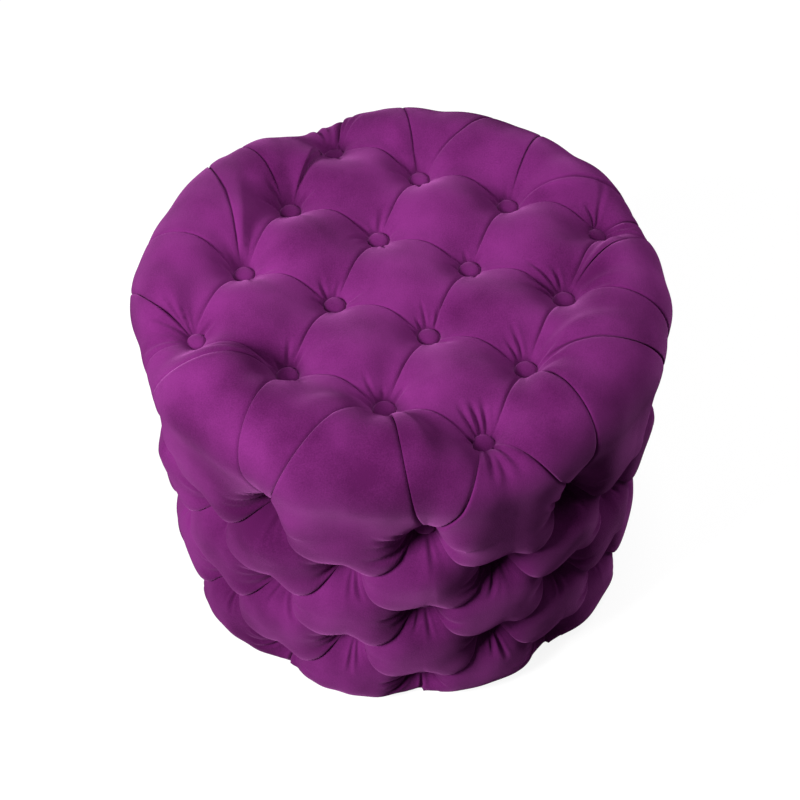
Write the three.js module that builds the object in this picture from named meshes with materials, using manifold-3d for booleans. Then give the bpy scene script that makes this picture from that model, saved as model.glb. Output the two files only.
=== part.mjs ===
// A round deep-buttoned tuffet: a drum of plywood, timber and hardboard, padded with foam and covered
// in velvet, which covered buttons draw down into diamonds. A dust cover closes it below, and it
// stands on plastic glides. Millimetres, +Z up, origin on the floor under the middle. The square grid
// of top buttons lies along X and Y, and a turn is an angle about +Z, counted from -Y towards +X.
import * as THREE from 'three';
import { mergeVertices } from 'three/addons/utils/BufferGeometryUtils.js';
import Module from 'manifold-3d';

const wasm = await Module();
wasm.setup();

// Layout of the buttons
const gridCount = 4;
const cornerButtonOverhang = 6;
const columnCount = 10;
const rowCount = 5;
const highestRowDrop = 48;
const lowestRowHeight = 34;
const columnTurn = THREE.MathUtils.degToRad(-6);

// Clearances
const seatGap = 0.3;
const holeGap = 0.4;
const paddingGap = 0.6;
const seamGap = 0.9;
const cutOverrun = 8;
const weldDistance = 0.003;

// Frame
const drumSides = 40;
const boardRadius = 206;
const boardThickness = 15;
const baseRingWidth = 86;
const postCount = 4;
const postSide = 30;
const postLength = 291;
const postInset = 19;
const skinThickness = 3;
const skinButtGap = 1.5;

// Screws that hold the boards to the posts
const screwLength = 45;
const screwRadius = 2.2;
const screwHeadRadius = 4.4;
const screwHeadHeight = 2.6;
const screwPoint = 4;
const screwSides = 8;

// Padding and cover, as thick as they are under a button
const topFoamFloor = 34;
const sideFoamFloor = 9.1;
const coverThickness = 2.4;
const seatCorner = 17;

// The form that the cover is drawn into, measured out from the surface on which the buttons sit
const topPleatRise = 25;
const topCrownRise = 35;
const topShoulderRise = 26;
const rimPleatRise = 46;
const rimCrownRise = 48;
const sidePleatRise = 26;
const sideCrownRise = 37;
const footCrownRise = 29;
const puffMiddle = 30;
const footPuffProud = 19;
const footPleatProud = 4;
const hemWidth = 46;
const pleatFullness = 0.4;
const crownFullness = 0.35;
const shoulderShare = 0.23;
const shortPleatShares = [0.5];
const longPleatShares = [0.25, 0.5, 0.75];
const rimRidgeShares = [0.13, 0.3, 0.5, 0.75];
const edgeRidgeShares = [[0.3, 0.95], [0.55, 1], [0.78, 0.86]];
const sideRidgeShares = [0.24, 0.5, 0.76];
const footRidgeShares = [[0.27, 0.82], [0.5, 1], [0.74, 1], [0.9, 0.9]];

// Dust cover and glides
const dustCoverThickness = 1;
const dustCoverInset = 12;
const glideCount = 4;
const glideSides = 12;
const glideRadius = 13;
const glideHeight = 6;
const glideTaper = 1.5;
const glideInset = 60;
const glidePinRadius = 1.5;
const glidePinLength = 16;
const glidePinHoleSides = 6;

// Covered buttons and their twine
const buttonSides = 8;
const buttonRadius = 12;
const buttonShoulderRadius = 9.5;
const buttonShoulder = 5.5;
const buttonHeight = 8;
const topButtonClearance = 5.5;
const sideButtonClearance = 3;
const twineSides = 4;
const twineRadius = 1.5;
const knotRadius = 4;
const knotHeight = 3;
const tieInset = 1;

const velvet = new THREE.MeshStandardMaterial({ color: 0x7f2f78, roughness: 0.85, metalness: 0 });
const plywood = new THREE.MeshStandardMaterial({ color: 0xc9a878, roughness: 0.7, metalness: 0 });
const softwood = new THREE.MeshStandardMaterial({ color: 0xd8bd8c, roughness: 0.75, metalness: 0 });
const hardboard = new THREE.MeshStandardMaterial({ color: 0x7a5a3c, roughness: 0.8, metalness: 0 });
const foam = new THREE.MeshStandardMaterial({ color: 0xe9e2c8, roughness: 0.95, metalness: 0 });
const blackCloth = new THREE.MeshStandardMaterial({ color: 0x141414, roughness: 0.95, metalness: 0 });
const blackPlastic = new THREE.MeshStandardMaterial({ color: 0x1c1c1c, roughness: 0.5, metalness: 0 });
const zincSteel = new THREE.MeshStandardMaterial({ color: 0xb9bcc0, roughness: 0.35, metalness: 1 });

// Heights, from the floor up
const dustCoverBottom = glideHeight + seatGap;
const hemBottom = dustCoverBottom + dustCoverThickness + seatGap;
const baseBottom = hemBottom + coverThickness + seatGap;
const baseTop = baseBottom + boardThickness;
const postBottom = baseTop + seatGap;
const postTop = postBottom + postLength;
const topBoardBottom = postTop + seatGap;
const topBoardTop = topBoardBottom + boardThickness;
const topFoamBottom = topBoardTop + seatGap;
const topSeat = topFoamBottom + topFoamFloor + paddingGap + coverThickness;
const cornerHeight = topSeat - seatCorner;
const rowPitch = (topBoardTop - highestRowDrop - lowestRowHeight) / (rowCount - 1);

// Radii, from the boards out
const skinInner = boardRadius + seatGap;
const skinOuter = skinInner + skinThickness;
const sideFoamInner = skinOuter + seatGap;
const sideSeat = sideFoamInner + sideFoamFloor + paddingGap + coverThickness;
const cornerStart = sideSeat - seatCorner;
const postCircle = boardRadius - postInset - postSide / 2;
const baseOpeningRadius = boardRadius - baseRingWidth;
const glideCircle = boardRadius - glideInset;
const dustCoverRadius = boardRadius - dustCoverInset;
const topSeatRadius = buttonRadius + topButtonClearance;
const sideSeatRadius = buttonRadius + sideButtonClearance;

// The corner buttons of the square grid stand just out past the boards.
const gridPitch = (boardRadius + cornerButtonOverhang) * Math.SQRT2 / (gridCount - 1);

// Solids and booleans

function solidOf(geometry) {
  const bare = geometry.index ? geometry.toNonIndexed() : geometry.clone();
  bare.deleteAttribute('normal');
  bare.deleteAttribute('uv');
  const merged = mergeVertices(bare, weldDistance);
  return new wasm.Manifold(new wasm.Mesh({
    numProp: 3,
    vertProperties: merged.getAttribute('position').array,
    triVerts: new Uint32Array(merged.index.array),
  }));
}

function geometryOf(solid) {
  const mesh = solid.getMesh();
  const geometry = new THREE.BufferGeometry();
  geometry.setAttribute('position', new THREE.BufferAttribute(mesh.vertProperties, 3));
  geometry.setIndex(new THREE.BufferAttribute(mesh.triVerts, 1));
  geometry.computeVertexNormals();
  return geometry;
}

function joined(solids) {
  return solids.reduce((whole, solid) => whole.add(solid));
}

function without(solid, cutters) {
  return cutters.length ? solid.subtract(joined(cutters)) : solid;
}

// Turned and square shapes, as solids along +Z

function turned(profile, sides, turn = 0) {
  const points = profile.map(([radius, height]) => new THREE.Vector2(radius, height));
  return new THREE.LatheGeometry(points, sides).rotateX(Math.PI / 2).rotateZ(turn);
}

function rod(radius, low, high, sides, turn = 0) {
  return turned([[0, low], [radius, low], [radius, high], [0, high]], sides, turn);
}

function tube(inner, outer, low, high, sides, turn = 0) {
  return turned([[inner, low], [outer, low], [outer, high], [inner, high], [inner, low]], sides, turn);
}

// The drum's flats, not its corners, face the columns of buttons.
const drumTurn = columnTurn + Math.PI / drumSides;

function drumDisc(radius, low, high) {
  return solidOf(rod(radius, low, high, drumSides, drumTurn));
}

function drumRing(inner, outer, low, high) {
  return solidOf(tube(inner, outer, low, high, drumSides, drumTurn));
}

function atTurn(radius, turn, height) {
  return new THREE.Vector3(radius * Math.sin(turn), -radius * Math.cos(turn), height);
}

function evenTurns(count, first = 0) {
  return Array.from({ length: count }, (_, index) => first + 2 * Math.PI * index / count);
}

// Places on the surface that the buttons sit on. It is flat on top, rounds over at the corner and goes
// straight down the side. A place's reach is its distance from the middle, along that surface on the
// flat and the side, and round the corner along the middle of the puffs.

const cornerReach = (seatCorner + puffMiddle) * Math.PI / 2;

function reachAtHeight(height) {
  return cornerStart + cornerReach + cornerHeight - height;
}

function seatAt(place) {
  const roll = (place.reach - cornerStart) / (seatCorner + puffMiddle);
  const tilt = THREE.MathUtils.clamp(roll, 0, Math.PI / 2);
  const drop = Math.max(0, place.reach - cornerStart - cornerReach);
  const radius = Math.min(place.reach, cornerStart) + seatCorner * Math.sin(tilt);
  const height = cornerHeight + seatCorner * Math.cos(tilt) - drop;
  return {
    at: atTurn(radius, place.turn, height),
    out: atTurn(Math.sin(tilt), place.turn, Math.cos(tilt)),
  };
}

function between(start, end, share) {
  if (start.onTop && end.onTop) {
    const flat = atTurn(start.reach, start.turn, 0).lerp(atTurn(end.reach, end.turn, 0), share);
    return { reach: flat.length(), turn: Math.atan2(flat.x, -flat.y), onTop: true };
  }
  const step = end.turn - start.turn;
  const shortStep = step - 2 * Math.PI * Math.round(step / (2 * Math.PI));
  return {
    reach: THREE.MathUtils.lerp(start.reach, end.reach, share),
    turn: start.turn + shortStep * share,
    onTop: false,
  };
}

function topButtonPlace(row, column) {
  const middle = (gridCount - 1) / 2;
  const x = (column - middle) * gridPitch;
  const y = (middle - row) * gridPitch;
  const radius = Math.hypot(x, y);
  const past = Math.max(0, radius - cornerStart) / (seatCorner + buttonHeight);
  const reach = Math.min(radius, cornerStart) + Math.asin(past) * (seatCorner + puffMiddle);
  return { reach, turn: Math.atan2(x, -y), onTop: true };
}

function sideButtonPlace(row, column) {
  const turn = columnTurn + (column + (row % 2) / 2) * 2 * Math.PI / columnCount;
  const height = lowestRowHeight + (rowCount - 1 - row) * rowPitch;
  return { reach: reachAtHeight(height), turn, onTop: false };
}

const topPlaces = Array.from({ length: gridCount ** 2 }, (_, index) => (
  topButtonPlace(Math.floor(index / gridCount), index % gridCount)
));

// The tufted form, as triangles of vertices. A vertex has its point on the outside of the cover, and
// the direction along which the cover's thickness and the foam below it are measured.

function raised(place, rise) {
  const { at, out } = seatAt(place);
  return { at: at.addScaledVector(out, rise), out };
}

function direction(button, place) {
  const { at, out } = seatAt(button);
  return seatAt(place).at.sub(at).projectOnPlane(out).normalize();
}

function seatEdge(button, along) {
  const { at, out } = seatAt(button);
  const radius = button.onTop ? topSeatRadius : sideSeatRadius;
  return { at: at.addScaledVector(along.projectOnPlane(out).normalize(), radius), out, onSeat: true };
}

// On a seat's edge, where the pleat to another place begins
function pleatStart(button, place) {
  return seatEdge(button, direction(button, between(button, place, longPleatShares[0])));
}

// On a seat's edge, halfway between two pleats
function puffStart(button, before, after) {
  const first = direction(button, between(button, before, longPleatShares[0]));
  return seatEdge(button, first.add(direction(button, between(button, after, longPleatShares[0]))));
}

function arch(share, fullness) {
  return Math.sin(Math.PI * share) ** fullness;
}

// The line that a pleat follows from one button up over the padding and down to another
function pleat(start, end) {
  const overRim = start.onTop !== end.onTop;
  const flatRise = start.onTop ? topPleatRise : sidePleatRise;
  const rise = overRim ? rimPleatRise : flatRise;
  const shares = overRim ? longPleatShares : shortPleatShares;
  const crest = shares.map((share) => (
    raised(between(start, end, share), rise * arch(share, pleatFullness))
  ));
  return [pleatStart(start, end), ...crest, pleatStart(end, start)];
}

function seatMiddle(button) {
  return { ...seatAt(button), onSeat: true };
}

// The part of a seat between two pleats
function seatFan(button, before, after) {
  const middle = seatMiddle(button);
  const puff = puffStart(button, before, after);
  return [[middle, pleatStart(button, after), puff], [middle, puff, pleatStart(button, before)]];
}

function span(start, end) {
  return start && end ? start.at.distanceTo(end.at) : Infinity;
}

// Triangles between two lines of vertices that run the same way, the left one named first. Each step
// takes the shorter way across.
function bridge(left, right) {
  const faces = [];
  let leftStep = 0;
  let rightStep = 0;
  while (leftStep < left.length - 1 || rightStep < right.length - 1) {
    const leftSpan = span(left[leftStep + 1], right[rightStep]);
    if (leftSpan <= span(left[leftStep], right[rightStep + 1])) {
      faces.push([left[leftStep], left[leftStep + 1], right[rightStep]]);
      leftStep += 1;
    } else {
      faces.push([left[leftStep], right[rightStep + 1], right[rightStep]]);
      rightStep += 1;
    }
  }
  return faces;
}

// The corner of a square puff, from its shoulder in to the middle of the seat. At the four outermost
// buttons the pleats part so widely that the seat needs a point between them.
function squareCorner(button, before, after, shoulder) {
  const [start, end] = [pleatStart(button, after), pleatStart(button, before)];
  if (button.reach < cornerStart) {
    return [[shoulder, end, start], [seatMiddle(button), start, end]];
  }
  const puff = puffStart(button, before, after);
  return [[shoulder, end, puff], [shoulder, puff, start], ...seatFan(button, before, after)];
}

// A square puff on top, its corners named anticlockwise from above
function squarePuff(corners) {
  const crown = raised(between(corners[0], corners[2], 0.5), topCrownRise);
  const shoulders = corners.map((corner, index) => (
    raised(between(corner, corners[(index + 2) % corners.length], shoulderShare), topShoulderRise)
  ));
  return corners.flatMap((corner, index) => {
    const next = (index + 1) % corners.length;
    const before = corners[(index + 3) % corners.length];
    return [
      [crown, shoulders[index], shoulders[next]],
      ...bridge(pleat(corner, corners[next]), [shoulders[index], shoulders[next]]),
      ...squareCorner(corner, before, corners[next], shoulders[index]),
    ];
  });
}

// A three-sided puff that hangs over the rim, from the pleat between two top buttons to a side button
function edgePuff(left, right, bottom) {
  const pleatMiddle = pleat(left, right)[1];
  const start = between(left, right, 0.5);
  const ridge = [
    pleatMiddle,
    ...edgeRidgeShares.map(([share, rise]) => raised(between(start, bottom, share), rise * rimCrownRise)),
    puffStart(bottom, left, right),
  ];
  const leftLine = [
    pleatMiddle, pleatStart(left, right), puffStart(left, right, bottom), ...pleat(left, bottom),
  ];
  const rightLine = [
    pleatMiddle, pleatStart(right, left), puffStart(right, left, bottom), ...pleat(right, bottom),
  ];
  const faces = [...bridge(leftLine, ridge), ...bridge(ridge, rightLine)];
  return [
    ...faces.filter((face) => new Set(face).size === face.length),
    ...seatFan(left, right, bottom),
    ...seatFan(right, bottom, left),
    ...seatFan(bottom, left, right),
  ];
}

// A puff shaped like a kite, with a ridge from its top button to its bottom one
function kitePuff(top, left, bottom, right, ridgeShares, rise) {
  const ridge = [
    puffStart(top, left, right),
    ...ridgeShares.map((share) => raised(between(top, bottom, share), rise * arch(share, crownFullness))),
    puffStart(bottom, left, right),
  ];
  const leftLine = [...pleat(top, left), puffStart(left, top, bottom), ...pleat(left, bottom)];
  const rightLine = [...pleat(top, right), puffStart(right, top, bottom), ...pleat(right, bottom)];
  return [
    ...bridge(leftLine, ridge),
    ...bridge(ridge, rightLine),
    ...seatFan(top, right, left),
    ...seatFan(left, top, bottom),
    ...seatFan(bottom, left, right),
    ...seatFan(right, bottom, top),
  ];
}

function footPlace(turn) {
  return { reach: reachAtHeight(hemBottom), turn, onTop: false };
}

function footVertex(turn, proud) {
  const out = atTurn(1, turn, -1).normalize();
  return { at: atTurn(sideSeat + proud, turn, hemBottom), out };
}

function hemVertex(turn) {
  return { at: atTurn(sideSeat - hemWidth, turn, hemBottom), out: new THREE.Vector3(0, 0, -1) };
}

// The bottom puff hangs between two pleats that run straight down to the floor.
function footPuff(top, left, right) {
  const turns = [left.turn, top.turn, right.turn];
  const feet = [
    footVertex(turns[0], footPleatProud),
    footVertex(turns[1], footPuffProud),
    footVertex(turns[2], footPleatProud),
  ];
  const foot = footPlace(top.turn);
  const leftFoot = footPlace(left.turn);
  const rightFoot = footPlace(right.turn);
  const ridge = [
    puffStart(top, left, right),
    ...footRidgeShares.map(([share, rise]) => raised(between(top, foot, share), rise * footCrownRise)),
    feet[1],
  ];
  const leftLine = [
    ...pleat(top, left), puffStart(left, top, leftFoot), pleatStart(left, leftFoot), feet[0],
  ];
  const rightLine = [
    ...pleat(top, right), puffStart(right, top, rightFoot), pleatStart(right, rightFoot), feet[2],
  ];
  return [
    ...bridge(leftLine, ridge),
    ...bridge(ridge, rightLine),
    ...seatFan(top, right, left),
    ...seatFan(left, top, leftFoot),
    ...seatFan(right, rightFoot, top),
  ];
}

// The hem turns under the base from the bottom puff.
function hem(left, middle, right) {
  const turns = [left.turn, middle.turn, right.turn];
  const prouds = [footPleatProud, footPuffProud, footPleatProud];
  const feet = turns.map((turn, index) => footVertex(turn, prouds[index]));
  const inner = turns.map(hemVertex);
  return [0, 1].flatMap((step) => [
    [feet[step + 1], feet[step], inner[step]],
    [feet[step + 1], inner[step], inner[step + 1]],
  ]);
}

// How many top buttons the highest button of each column has pleats to
const fanCounts = [2, 2, 2, 2, 3, 2, 2, 3, 2, 2];

// For each column those top buttons, in order of turn round the edge of the grid
function topFans() {
  const start = columnTurn - Math.PI / columnCount;
  const pastStart = (place) => THREE.MathUtils.euclideanModulo(place.turn - start, 2 * Math.PI);
  const edge = topPlaces
    .filter((_, index) => [index % gridCount, Math.floor(index / gridCount)].some(
      (line) => line === 0 || line === gridCount - 1,
    ))
    .sort((one, other) => pastStart(one) - pastStart(other));
  let last = 0;
  return fanCounts.map((count) => {
    const first = last;
    last += count - 1;
    return Array.from({ length: count }, (_, step) => edge[(first + step) % edge.length]);
  });
}

function topFaces() {
  const squares = topPlaces.flatMap((corner, index) => {
    const lastColumn = index % gridCount === gridCount - 1;
    const below = index + gridCount;
    return lastColumn || below >= topPlaces.length
      ? []
      : squarePuff([corner, topPlaces[below], topPlaces[below + 1], topPlaces[index + 1]]);
  });
  const edges = topFans().flatMap((fan, column) => fan.slice(1).flatMap((after, step) => (
    edgePuff(fan[step], after, sideButtonPlace(0, column))
  )));
  const rim = topFans().flatMap((fan, column) => kitePuff(
    fan.at(-1),
    sideButtonPlace(0, column),
    sideButtonPlace(1, column),
    sideButtonPlace(0, column + 1),
    rimRidgeShares,
    rimCrownRise,
  ));
  return [...squares, ...edges, ...rim];
}

// The columns from one to another, as the triangles of the side puffs and, if asked, the hem
function sideFaces(firstColumn, count, withHem) {
  const faces = [];
  for (let row = 0; row < rowCount - 1; row += 1) {
    const shift = row % 2;
    for (let column = firstColumn + 1 - shift; column < firstColumn + count + 1 - shift; column += 1) {
      const top = sideButtonPlace(row, column);
      const left = sideButtonPlace(row + 1, column - 1 + shift);
      const right = sideButtonPlace(row + 1, column + shift);
      const rise = THREE.MathUtils.lerp(sideCrownRise, footCrownRise, row / (rowCount - 1));
      if (row < rowCount - 2) {
        faces.push(...kitePuff(top, left, sideButtonPlace(row + 2, column), right, sideRidgeShares, rise));
      } else {
        faces.push(...footPuff(top, left, right));
        faces.push(...(withHem ? hem(left, top, right) : []));
      }
    }
  }
  return faces;
}

function keyOf(vertex) {
  return vertex.at.toArray().map((value) => Math.round(value / weldDistance)).join();
}

// The sides of triangles that no other triangle shares
function openSides(faces) {
  const open = new Map();
  faces.forEach((face) => face.forEach((start, index) => {
    const end = face[(index + 1) % face.length];
    if (!open.delete(`${keyOf(end)} ${keyOf(start)}`)) {
      open.set(`${keyOf(start)} ${keyOf(end)}`, [start, end]);
    }
  }));
  return [...open.values()];
}

// Draws the vertices on open sides in by half the seam's gap, along the cover and square to the seam.
function drawnIn(faces) {
  const pulls = new Map();
  openSides(faces).forEach(([start, end]) => [start, end].forEach((vertex) => {
    const key = keyOf(vertex);
    const square = vertex.out.clone().cross(end.at.clone().sub(start.at)).normalize();
    pulls.set(key, (pulls.get(key) ?? new THREE.Vector3()).add(square));
  }));
  return faces.map((face) => face.map((vertex) => {
    const pull = pulls.get(keyOf(vertex));
    return pull
      ? { at: vertex.at.clone().addScaledVector(pull.clone().normalize(), seamGap / 2), out: vertex.out }
      : vertex;
  }));
}

// Gives each vertex off the seats the mean direction of its triangles, so that the cover's thickness
// is even.
function facingOut(faces, whole) {
  const sums = new Map();
  whole.forEach((face) => {
    const [first, second, third] = face.map((vertex) => vertex.at);
    const normal = new THREE.Triangle(first, second, third).getNormal(new THREE.Vector3());
    face.forEach((vertex) => {
      const key = keyOf(vertex);
      sums.set(key, (sums.get(key) ?? new THREE.Vector3()).add(normal));
    });
  });
  return faces.map((face) => face.map((vertex) => (
    vertex.onSeat ? vertex : { at: vertex.at, out: sums.get(keyOf(vertex)).clone().normalize() }
  )));
}

function geometryFrom(triangles) {
  return new THREE.BufferGeometry().setFromPoints(triangles.flat());
}

function pushedIn(vertex, depth) {
  return vertex.at.clone().addScaledVector(vertex.out, -depth);
}

// A cover of even thickness over the given triangles
function shell(faces) {
  const outside = faces.map((face) => face.map((vertex) => vertex.at));
  const inside = faces.map((face) => face.map((vertex) => pushedIn(vertex, coverThickness)).reverse());
  const walls = openSides(faces).flatMap(([start, end]) => {
    const startIn = pushedIn(start, coverThickness);
    const endIn = pushedIn(end, coverThickness);
    return [[end.at, start.at, startIn], [end.at, startIn, endIn]];
  });
  return solidOf(geometryFrom([...outside, ...inside, ...walls]));
}

// Everything inside the cover, closed across the bottom
function filling(faces) {
  const depth = coverThickness + paddingGap;
  const outside = faces.map((face) => face.map((vertex) => pushedIn(vertex, depth)));
  const edge = openSides(faces).map(([start, end]) => [pushedIn(start, depth), pushedIn(end, depth)]);
  const middle = new THREE.Vector3(0, 0, edge[0][0].z);
  const bottom = edge.map(([start, end]) => [end, start, middle]);
  return solidOf(geometryFrom([...outside, ...bottom]));
}

// Buttons. A button's own shape points along +Z, with the seat at height zero.

function standing(geometry, button) {
  const { at, out } = seatAt(button);
  const side = new THREE.Vector3(Math.cos(button.turn), Math.sin(button.turn), 0);
  const basis = new THREE.Matrix4().makeBasis(side, out.clone().cross(side), out).setPosition(at);
  return geometry.applyMatrix4(basis);
}

function buttonCap() {
  return turned([
    [0, seatGap],
    [buttonRadius, seatGap],
    [buttonShoulderRadius, buttonShoulder],
    [0, buttonHeight],
  ], buttonSides, Math.PI / buttonSides);
}

function twine(radius, low, high) {
  return rod(radius, low, high, twineSides, Math.PI / twineSides);
}

// How far below its seat a top button's twine meets the underside of the top board
function twineDrop(button) {
  const { at, out } = seatAt(button);
  return (at.z - topBoardBottom) / out.z + knotRadius * Math.hypot(out.x, out.y) / out.z + seatGap;
}

function topButton(button) {
  const drop = twineDrop(button);
  const knot = rod(knotRadius, -drop - knotHeight, -drop, buttonSides);
  const parts = [buttonCap(), twine(twineRadius, -drop - knotHeight / 2, buttonShoulder / 2), knot];
  return joined(parts.map((part) => solidOf(standing(part, button))));
}

// The twines of a side row come together in one tie, which runs from button to button behind the skin.
function sideButtonRow(row) {
  const tieOuter = boardRadius - tieInset;
  const tieInner = tieOuter - 2 * twineRadius;
  const height = lowestRowHeight + (rowCount - 1 - row) * rowPitch;
  const buttons = evenTurns(columnCount).map((_, column) => sideButtonPlace(row, column));
  const tie = tube(tieInner, tieOuter, -twineRadius, twineRadius, columnCount, buttons[0].turn)
    .translate(0, 0, height);
  const depth = sideSeat - (tieInner + tieOuter) / 2;
  const parts = buttons.flatMap((button) => [
    standing(buttonCap(), button),
    standing(twine(twineRadius, -depth, buttonShoulder / 2), button),
  ]);
  return joined([tie, ...parts].map(solidOf));
}

const topHoles = topPlaces.map((button) => (
  solidOf(standing(twine(twineRadius + holeGap, -twineDrop(button) - cutOverrun, cutOverrun), button))
));

const sideHoles = evenTurns(rowCount * columnCount).map((_, index) => {
  const button = sideButtonPlace(Math.floor(index / columnCount), index % columnCount);
  const hole = twine(twineRadius + holeGap, boardRadius - sideSeat - cutOverrun, cutOverrun);
  return solidOf(standing(hole, button));
});

// Frame

const postTurns = evenTurns(postCount, Math.PI / postCount);
const glideTurns = evenTurns(glideCount);

function post(turn) {
  return new THREE.BoxGeometry(postSide, postSide, postLength)
    .rotateZ(turn)
    .translate(...atTurn(postCircle, turn, postBottom + postLength / 2));
}

// A screw's own shape has the top of its head at height zero and its point below.
function screwShape(gap) {
  return turned([
    [0, -screwLength - gap],
    [screwRadius + gap, screwPoint - screwLength],
    [screwRadius + gap, -screwHeadHeight],
    [screwHeadRadius + gap, gap],
    [0, gap],
  ], screwSides);
}

function topScrew(turn, gap) {
  return screwShape(gap).translate(...atTurn(postCircle, turn, topBoardTop));
}

function baseScrew(turn, gap) {
  return screwShape(gap).rotateX(Math.PI).translate(...atTurn(postCircle, turn, baseBottom));
}

const screwHoles = postTurns.flatMap((turn) => [
  solidOf(topScrew(turn, holeGap)),
  solidOf(baseScrew(turn, holeGap)),
]);

function sideSkin() {
  const middle = (baseBottom + topBoardTop) / 2;
  const butt = new THREE.BoxGeometry(skinButtGap, 2 * (skinThickness + cutOverrun), topBoardTop + cutOverrun)
    .translate(...atTurn(skinInner, Math.PI, middle));
  return without(drumRing(skinInner, skinOuter, baseBottom, topBoardTop), [solidOf(butt), ...sideHoles]);
}

// Glides and dust cover

function glide(turn) {
  return turned([
    [0, 0],
    [glideRadius - glideTaper, 0],
    [glideRadius, glideTaper],
    [glideRadius, glideHeight],
    [glidePinRadius, glideHeight],
    [glidePinRadius, glideHeight + glidePinLength],
    [0, glideHeight + glidePinLength + glidePinRadius],
  ], glideSides).translate(...atTurn(glideCircle, turn, 0));
}

const pinHoleTop = glideHeight + glidePinLength + cutOverrun;
const pinHoles = glideTurns.map((turn) => (
  solidOf(rod(glidePinRadius + holeGap, 0, pinHoleTop, glidePinHoleSides)
    .translate(...atTurn(glideCircle, turn, 0)))
));

// Padding

const wholeFaces = [...topFaces(), ...sideFaces(0, columnCount, true)];
const padding = filling(facingOut([...topFaces(), ...sideFaces(0, columnCount, false)], wholeFaces));
const splitRadius = sideSeat + rimCrownRise + cutOverrun;
const splitLow = drumDisc(splitRadius, -cutOverrun, topFoamBottom);
const splitHigh = drumDisc(splitRadius, topBoardTop, topSeat + rimCrownRise + cutOverrun);
const underside = drumDisc(splitRadius, -cutOverrun, baseBottom);
const core = drumDisc(sideFoamInner, -cutOverrun, topBoardTop + cutOverrun);

const group = new THREE.Group();

function addPiece(name, solid, material) {
  const geometry = solid instanceof THREE.BufferGeometry ? solid : geometryOf(solid);
  const mesh = new THREE.Mesh(geometry, material);
  mesh.name = name;
  group.add(mesh);
}

const sideColumns = columnCount / 2;
const coverFaces = {
  top_cover: topFaces(),
  side_cover_right: sideFaces(0, sideColumns, true),
  side_cover_left: sideFaces(sideColumns, sideColumns, true),
};
Object.entries(coverFaces).forEach(([name, faces]) => {
  const cover = shell(drawnIn(facingOut(faces, wholeFaces)));
  addPiece(name, without(cover, [...topHoles, ...sideHoles]), velvet);
});
addPiece('top_foam', without(padding, [splitLow, ...topHoles]), foam);
addPiece('side_foam', without(padding, [splitHigh, underside, core, ...sideHoles]), foam);
topPlaces.forEach((button, index) => {
  addPiece(`top_button_${index + 1}`, topButton(button), velvet);
});
for (let row = 0; row < rowCount; row += 1) {
  addPiece(`side_buttons_row_${row + 1}`, sideButtonRow(row), velvet);
}
addPiece(
  'top_board',
  without(drumDisc(boardRadius, topBoardBottom, topBoardTop), [...topHoles, ...screwHoles]),
  plywood,
);
addPiece(
  'base_board',
  without(drumRing(baseOpeningRadius, boardRadius, baseBottom, baseTop), [...screwHoles, ...pinHoles]),
  plywood,
);
addPiece('side_skin', sideSkin(), hardboard);
postTurns.forEach((turn, index) => {
  addPiece(`post_${index + 1}`, without(solidOf(post(turn)), screwHoles), softwood);
  addPiece(`top_screw_${index + 1}`, topScrew(turn, 0), zincSteel);
  addPiece(`base_screw_${index + 1}`, baseScrew(turn, 0), zincSteel);
});
addPiece(
  'dust_cover',
  without(drumDisc(dustCoverRadius, dustCoverBottom, dustCoverBottom + dustCoverThickness), pinHoles),
  blackCloth,
);
glideTurns.forEach((turn, index) => {
  addPiece(`glide_${index + 1}`, glide(turn), blackPlastic);
});

export default group;
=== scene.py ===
import math

import bmesh
import bpy
import numpy as np
from mathutils import Matrix, Vector


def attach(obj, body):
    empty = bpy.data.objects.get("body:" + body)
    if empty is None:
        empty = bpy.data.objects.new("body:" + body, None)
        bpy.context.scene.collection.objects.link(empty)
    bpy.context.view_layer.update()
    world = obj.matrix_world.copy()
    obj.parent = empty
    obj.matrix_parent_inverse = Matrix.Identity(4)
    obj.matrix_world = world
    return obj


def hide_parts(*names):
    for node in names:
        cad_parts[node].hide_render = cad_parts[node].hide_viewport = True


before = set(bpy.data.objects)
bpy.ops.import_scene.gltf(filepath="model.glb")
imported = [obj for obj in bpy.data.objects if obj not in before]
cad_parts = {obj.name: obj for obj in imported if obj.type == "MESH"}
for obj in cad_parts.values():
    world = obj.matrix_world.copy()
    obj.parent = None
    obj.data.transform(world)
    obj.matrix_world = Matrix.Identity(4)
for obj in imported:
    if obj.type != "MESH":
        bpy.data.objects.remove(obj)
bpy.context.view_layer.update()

# Camera. It looks down on the stool from the front, turned a little to the right of the button grid,
# with a long lens.
camera_data = bpy.data.cameras.new("camera")
camera_data.sensor_width = 36
camera_data.lens = 72
camera = bpy.data.objects.new("camera", camera_data)
camera.location = (0.4583, -1.0032, 1.4968)
camera.rotation_euler = (math.radians(40.44), 0, math.radians(24.7))
bpy.context.scene.collection.objects.link(camera)
bpy.context.scene.camera = camera


# Glides. Four black plastic discs, each moulded round a pin that is driven into the base board. The
# plastic is finely grained and a little scuffed where it slides.
def new_material(name, roughness, metallic=0.0):
    """A finish, with the nodes, links and shader that it is made with."""
    material = bpy.data.materials.new(name)
    material.use_nodes = True
    shader = material.node_tree.nodes["Principled BSDF"]
    shader.inputs["Roughness"].default_value = roughness
    shader.inputs["Metallic"].default_value = metallic
    return material, material.node_tree.nodes, material.node_tree.links, shader


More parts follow.
